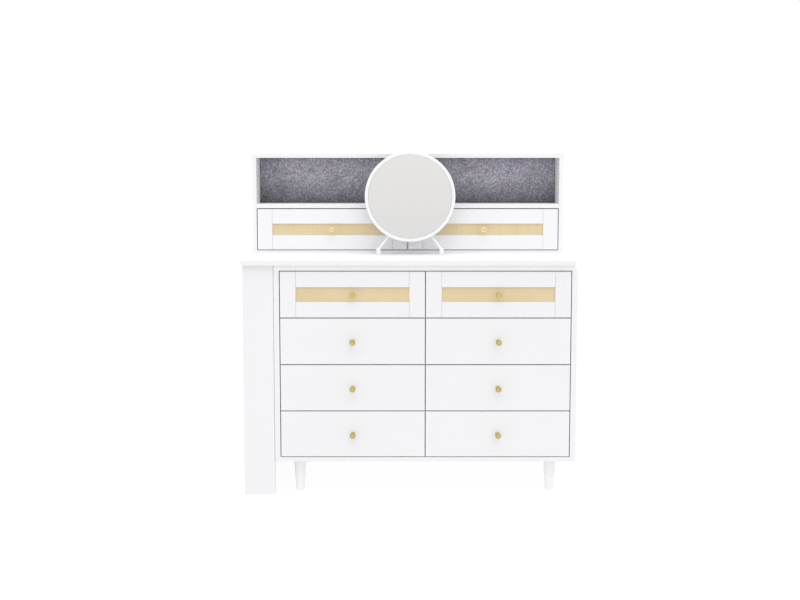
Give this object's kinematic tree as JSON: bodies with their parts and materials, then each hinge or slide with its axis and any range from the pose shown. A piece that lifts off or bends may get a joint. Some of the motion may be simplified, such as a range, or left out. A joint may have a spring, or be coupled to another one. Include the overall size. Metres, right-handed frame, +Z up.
{
  "type": "dressing table",
  "caption": "White dressing table: a chest of drawers with a pull-out desk on a leg, a felt-backed hutch, caned drawer fronts, brass knobs and a round tilting mirror.",
  "frame": {"origin": "on the floor, at the middle of the whole part's width and depth, knobs included", "axes": "+Z up, +X to the right when facing the drawer fronts, so the front faces -Y"},
  "size_m": [1.103, 0.425, 1.1421],
  "materials": {
    "white_lacquer": "white satin lacquer on board",
    "inner_board": "white melamine",
    "cane": "closely woven natural cane",
    "knob_brass": "satin",
    "runner_beech": "waxed beech",
    "bolt_steel": "zinc plated",
    "track_aluminium": "anodised",
    "tongue_plastic": "matt",
    "grey_felt": "mottled felt on board",
    "stand_enamel": "white enamel",
    "cap_plastic": "satin",
    "mirror_rim_plastic": "satin gloss",
    "mirror_glass": "silvered glass"
  },
  "bodies": {
    "chest": {"chest_top_board": "white_lacquer", "chest_left_side": "white_lacquer", "chest_right_side": "white_lacquer", "chest_bottom_board": "white_lacquer", "chest_divider": "inner_board", "chest_back_panel": "inner_board", "drawer_runners": "runner_beech", "feet": "white_lacquer", "foot_bolts": "bolt_steel", "desk_tracks": "track_aluminium"},
    "desk": {"desk_board": "white_lacquer", "leg_front_board": "white_lacquer", "leg_side_board": "white_lacquer", "leg_back_board": "white_lacquer", "desk_tongues": "tongue_plastic", "hutch_top_board": "white_lacquer", "hutch_sides": "white_lacquer", "hutch_shelf": "white_lacquer", "hutch_bottom_board": "white_lacquer", "hutch_divider": "inner_board", "hutch_back_panel": "inner_board", "felt_panel": "grey_felt"},
    "drawer_1": {"drawer_1_front": "white_lacquer", "drawer_1_box": "inner_board", "drawer_1_knob": "knob_brass", "drawer_1_cane": "cane"},
    "drawer_2": {"drawer_2_front": "white_lacquer", "drawer_2_box": "inner_board", "drawer_2_knob": "knob_brass", "drawer_2_cane": "cane"},
    "drawer_3": {"drawer_3_front": "white_lacquer", "drawer_3_box": "inner_board", "drawer_3_knob": "knob_brass"},
    "drawer_4": {"drawer_4_front": "white_lacquer", "drawer_4_box": "inner_board", "drawer_4_knob": "knob_brass"},
    "drawer_5": {"drawer_5_front": "white_lacquer", "drawer_5_box": "inner_board", "drawer_5_knob": "knob_brass"},
    "drawer_6": {"drawer_6_front": "white_lacquer", "drawer_6_box": "inner_board", "drawer_6_knob": "knob_brass"},
    "drawer_7": {"drawer_7_front": "white_lacquer", "drawer_7_box": "inner_board", "drawer_7_knob": "knob_brass"},
    "drawer_8": {"drawer_8_front": "white_lacquer", "drawer_8_box": "inner_board", "drawer_8_knob": "knob_brass"},
    "hutch_drawer_1": {"hutch_drawer_1_front": "white_lacquer", "hutch_drawer_1_box": "inner_board", "hutch_drawer_1_knob": "knob_brass", "hutch_drawer_1_cane": "cane"},
    "hutch_drawer_2": {"hutch_drawer_2_front": "white_lacquer", "hutch_drawer_2_box": "inner_board", "hutch_drawer_2_knob": "knob_brass", "hutch_drawer_2_cane": "cane"},
    "mirror_stand": {"mirror_stand": "stand_enamel", "mirror_foot_caps": "cap_plastic"},
    "mirror": {"mirror_frame": "mirror_rim_plastic", "mirror_glass": "mirror_glass"}
  },
  "joints": [
    {"name": "drawer_1_slide", "type": "slide", "parent": "chest", "child": "drawer_1", "axis": [0, -1, 0], "range_m": [0, 0.28]},
    {"name": "drawer_2_slide", "type": "slide", "parent": "chest", "child": "drawer_2", "axis": [0, -1, 0], "range_m": [0, 0.28]},
    {"name": "drawer_3_slide", "type": "slide", "parent": "chest", "child": "drawer_3", "axis": [0, -1, 0], "range_m": [0, 0.28]},
    {"name": "drawer_4_slide", "type": "slide", "parent": "chest", "child": "drawer_4", "axis": [0, -1, 0], "range_m": [0, 0.28]},
    {"name": "drawer_5_slide", "type": "slide", "parent": "chest", "child": "drawer_5", "axis": [0, -1, 0], "range_m": [0, 0.28]},
    {"name": "drawer_6_slide", "type": "slide", "parent": "chest", "child": "drawer_6", "axis": [0, -1, 0], "range_m": [0, 0.28]},
    {"name": "drawer_7_slide", "type": "slide", "parent": "chest", "child": "drawer_7", "axis": [0, -1, 0], "range_m": [0, 0.28]},
    {"name": "drawer_8_slide", "type": "slide", "parent": "chest", "child": "drawer_8", "axis": [0, -1, 0], "range_m": [0, 0.28]},
    {"name": "desk_pull_out", "type": "slide", "parent": "chest", "child": "desk", "axis": [-1, 0, 0], "range_m": [0, 0.6]},
    {"name": "hutch_drawer_1_slide", "type": "slide", "parent": "desk", "child": "hutch_drawer_1", "axis": [0, -1, 0], "range_m": [0, 0.04]},
    {"name": "hutch_drawer_2_slide", "type": "slide", "parent": "desk", "child": "hutch_drawer_2", "axis": [0, -1, 0], "range_m": [0, 0.04]},
    {"name": "mirror_lift_off", "type": "slide", "parent": "desk", "child": "mirror_stand", "axis": [0, 0, 1], "range_m": [0, 0.25]},
    {"name": "mirror_tilt", "type": "hinge", "parent": "mirror_stand", "child": "mirror", "pos_m": [0.0035, 0.0005, 0.9864], "axis": [-1, 0, 0], "range_deg": [0, 20]}
  ]
}
